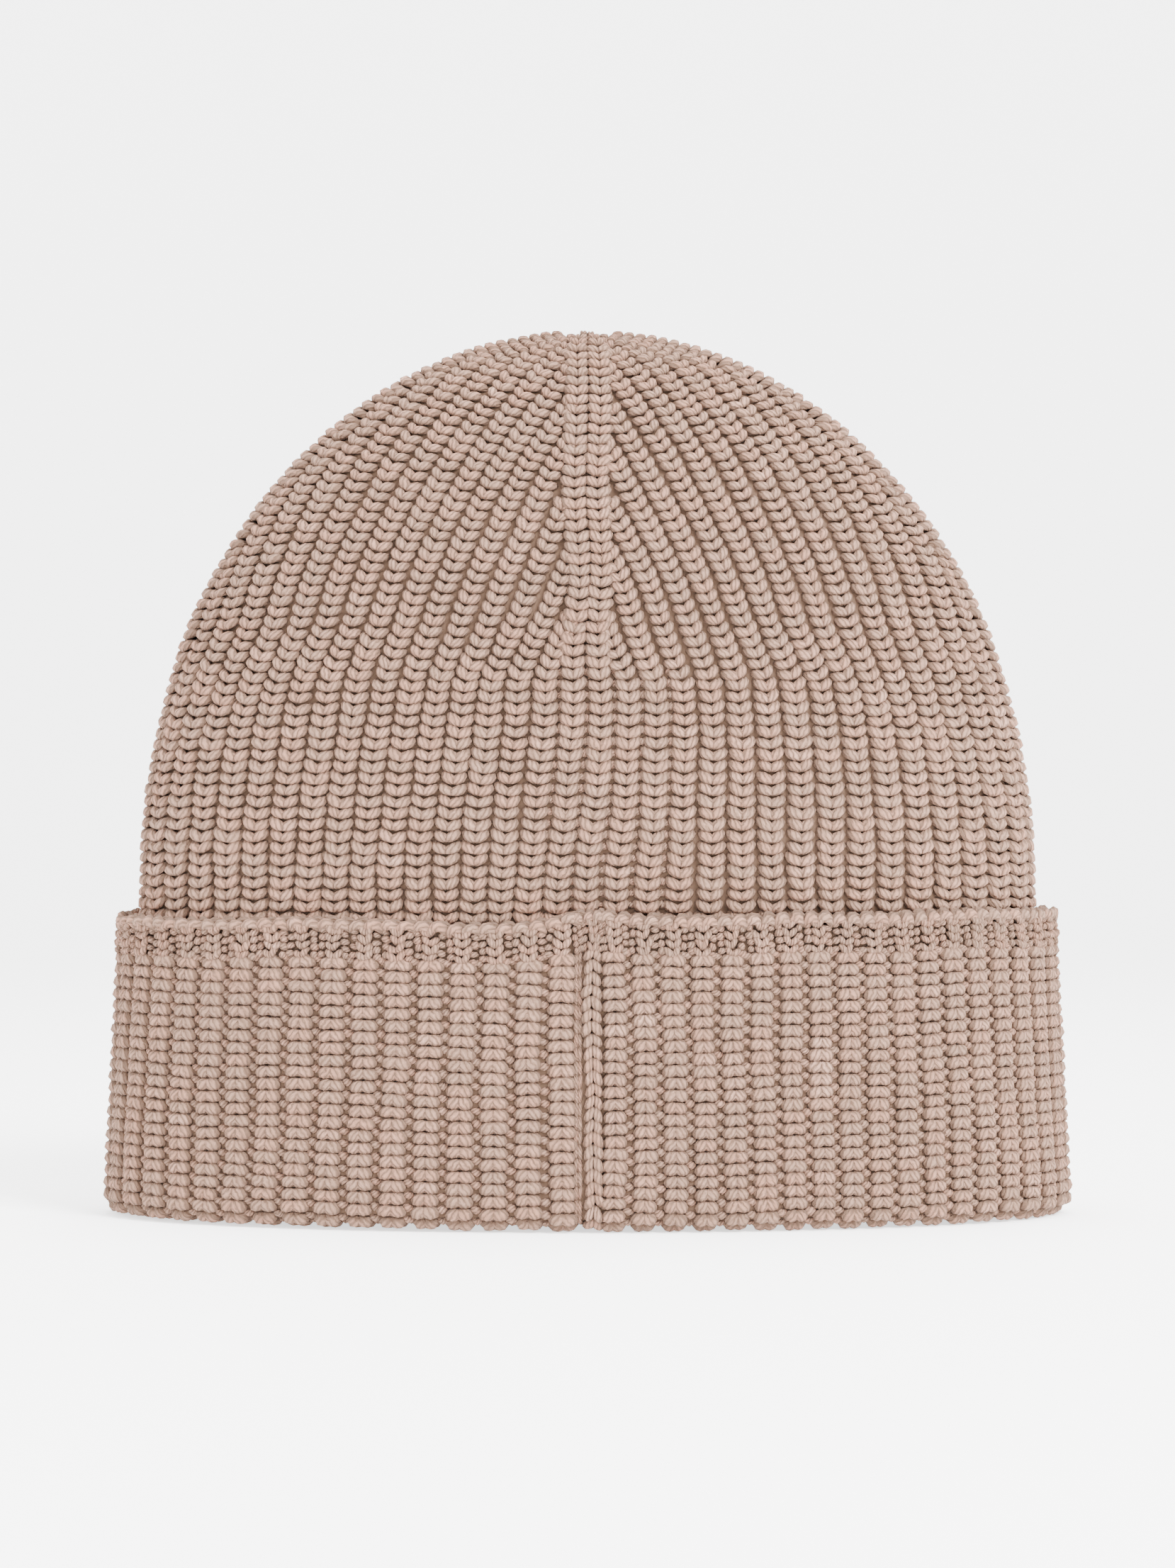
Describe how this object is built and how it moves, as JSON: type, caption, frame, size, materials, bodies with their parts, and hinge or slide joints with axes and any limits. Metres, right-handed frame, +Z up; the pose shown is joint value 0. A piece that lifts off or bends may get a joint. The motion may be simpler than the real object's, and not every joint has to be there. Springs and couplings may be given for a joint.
{
  "type": "knitted beanie",
  "caption": "Rib-knit beanie hat with a turned-up cuff, a shaped crown gathered at the top and a blank care label hanging inside.",
  "frame": {"origin": "middle of the hat's footprint, on the plane that the cuff's fold stands on", "axes": "+Z up towards the crown, +X along the hat's width, -Y towards the centre-back seam"},
  "size_m": [0.2194, 0.0956, 0.2],
  "materials": {
    "rib_knit": "matt, hairy plied yarn",
    "seam_yarn": "matt plied yarn",
    "label_ribbon": "smooth woven ribbon with a slight sheen",
    "label_thread": "polyester thread"
  },
  "bodies": {
    "hat": {"cuff_outer_band": "rib_knit", "cuff_seam": "rib_knit", "cuff_start_welt": "rib_knit", "cuff_fold": "rib_knit", "cuff_inner_band": "rib_knit", "cuff_inner_seam": "seam_yarn", "rib_body": "rib_knit", "back_seam": "seam_yarn", "crown_gore_back_left": "rib_knit", "crown_gore_back_right": "rib_knit", "crown_gore_front_left": "rib_knit", "crown_gore_front_right": "rib_knit", "crown_spine_left": "rib_knit", "crown_spine_right": "rib_knit", "crown_spine_back": "rib_knit", "crown_spine_front": "rib_knit", "crown_closure": "seam_yarn", "care_label_tab": "label_ribbon", "care_label_stitches": "label_thread"},
    "label": {"care_label": "label_ribbon"}
  },
  "joints": [
    {"name": "label_swing", "type": "hinge", "parent": "hat", "child": "label", "pos_m": [0, -0.03259, 0.097], "axis": [1, 0, 0], "range_deg": [0, 80]}
  ]
}
